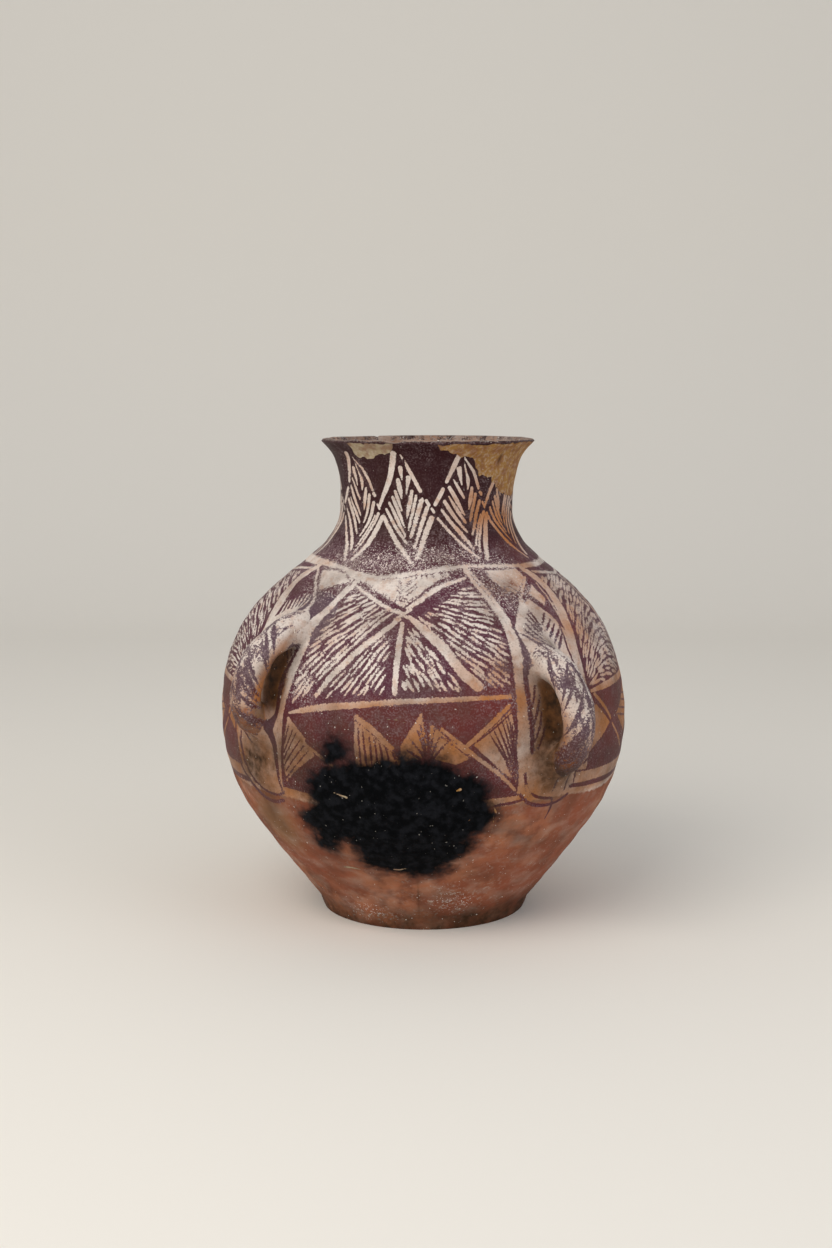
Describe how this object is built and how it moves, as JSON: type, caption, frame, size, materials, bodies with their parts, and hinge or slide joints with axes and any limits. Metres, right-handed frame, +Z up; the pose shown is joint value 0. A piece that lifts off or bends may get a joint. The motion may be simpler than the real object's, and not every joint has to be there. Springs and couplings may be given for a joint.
{
  "type": "storage jar",
  "caption": "Round-bellied hand-built terracotta storage jar with a flared neck, flat foot and loop handles, painted in dark geometric bands over pale slip.",
  "frame": {"origin": "centre of the foot's flat underside, on the jar's axis", "axes": "+Z up along the jar's axis, -Y towards the painted front with the fire cloud, +X to the right seen from the front"},
  "size_m": [0.3438, 0.3438, 0.4],
  "materials": {
    "bare_terracotta": "matte",
    "painted_slip": "matte",
    "worn_slip": "matte"
  },
  "bodies": {
    "root": {"base_slab": "bare_terracotta", "foot_coil": "bare_terracotta", "lower_wall_coil_1": "bare_terracotta", "lower_wall_coil_2": "bare_terracotta", "belly_coil_1": "painted_slip", "belly_coil_2": "painted_slip", "shoulder_coil_1": "painted_slip", "shoulder_coil_2": "painted_slip", "shoulder_coil_3": "painted_slip", "neck_coil_1": "painted_slip", "neck_coil_2": "painted_slip", "rim_coil": "painted_slip", "handle_front_left": "worn_slip", "upper_luting_front_left": "worn_slip", "lower_luting_front_left": "worn_slip", "handle_front_right": "worn_slip", "upper_luting_front_right": "worn_slip", "lower_luting_front_right": "worn_slip", "handle_rear_right": "worn_slip", "upper_luting_rear_right": "worn_slip", "lower_luting_rear_right": "worn_slip", "handle_rear_left": "worn_slip", "upper_luting_rear_left": "worn_slip", "lower_luting_rear_left": "worn_slip"}
  },
  "joints": []
}
